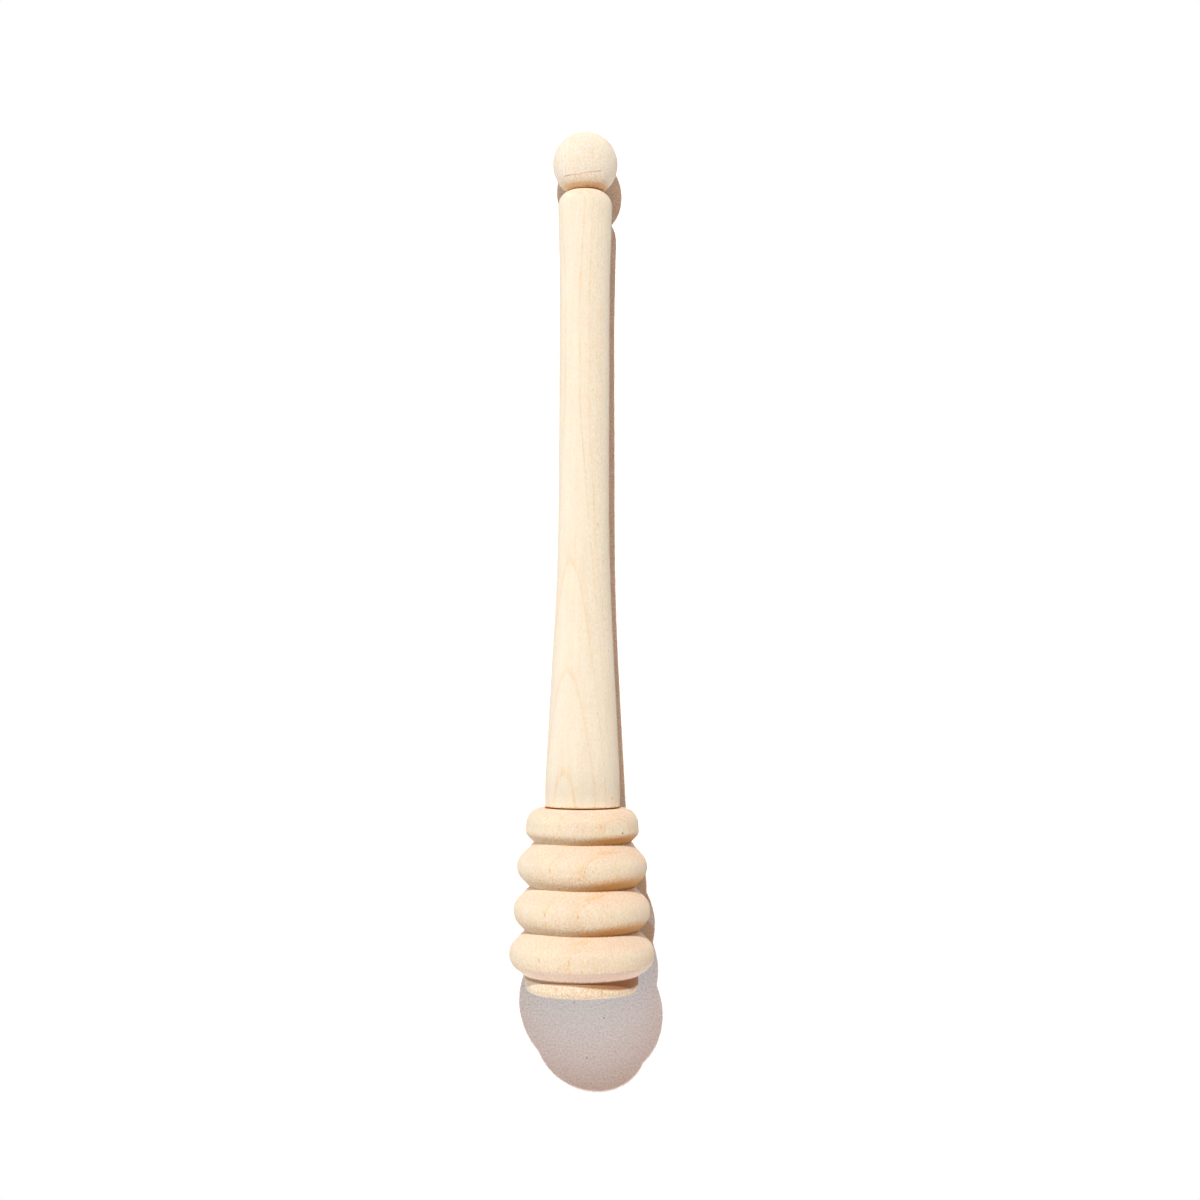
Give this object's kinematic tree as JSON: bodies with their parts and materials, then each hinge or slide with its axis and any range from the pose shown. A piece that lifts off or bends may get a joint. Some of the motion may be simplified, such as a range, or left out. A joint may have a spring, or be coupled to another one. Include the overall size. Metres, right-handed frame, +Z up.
{
  "type": "honey dipper",
  "caption": "Turned wooden honey dipper: a ringed, grooved head on a slim waisted handle that ends in a round knob, lying on its side.",
  "frame": {"origin": "on the table under the middle of the dipper as it lies, midway between its two ends", "axes": "+Z up, +Y along the table towards the knob, +X to the right as seen from above with the knob at the far end; the turning axis lies in the YZ plane and falls slightly towards the knob"},
  "size_m": [0.0268, 0.1602, 0.0268],
  "materials": {
    "head_wood": "bare, sanded",
    "handle_wood": "bare, sanded",
    "knob_wood": "bare, sanded",
    "dowel_wood": "bare, fluted"
  },
  "bodies": {
    "root": {"head": "head_wood", "handle": "handle_wood", "knob": "knob_wood", "head_dowel": "dowel_wood", "knob_dowel": "dowel_wood"}
  },
  "joints": []
}
